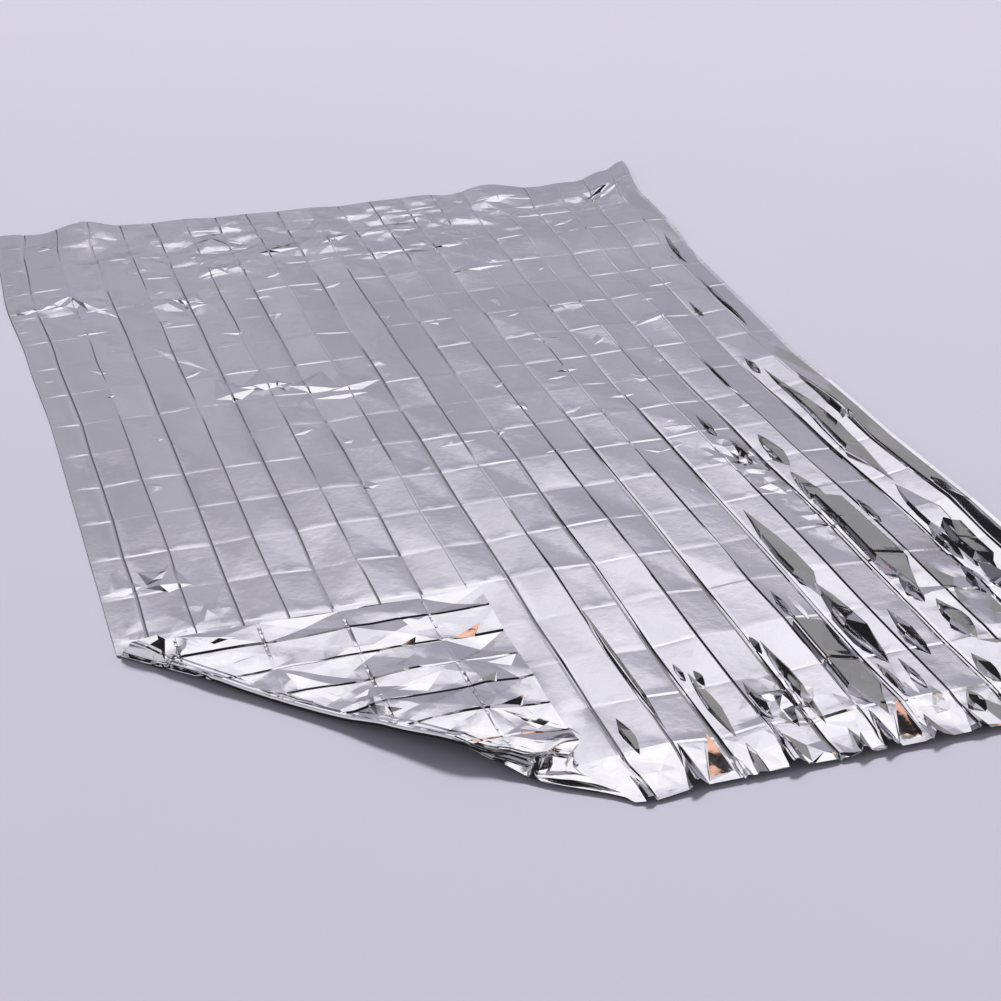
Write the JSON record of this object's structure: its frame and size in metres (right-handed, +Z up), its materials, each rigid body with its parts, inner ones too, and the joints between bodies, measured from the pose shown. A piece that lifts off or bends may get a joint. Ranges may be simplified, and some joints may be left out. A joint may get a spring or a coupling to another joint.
{
  "type": "emergency foil blanket",
  "caption": "Thin metallised film blanket, opened from its packet and laid flat with its fold creases showing and one corner turned over.",
  "frame": {"origin": "centre of the blanket's box, on the surface that it lies on", "axes": "+Y along the blanket's length, away from the turned corner; +X across it; +Z up, out of the surface"},
  "size_m": [1.3461, 2.14, 0.0365],
  "materials": {
    "foil": "mirror-bright metallised polyester film with packet creases"
  },
  "bodies": {
    "root": {"foil_sheet": "foil"}
  },
  "joints": []
}
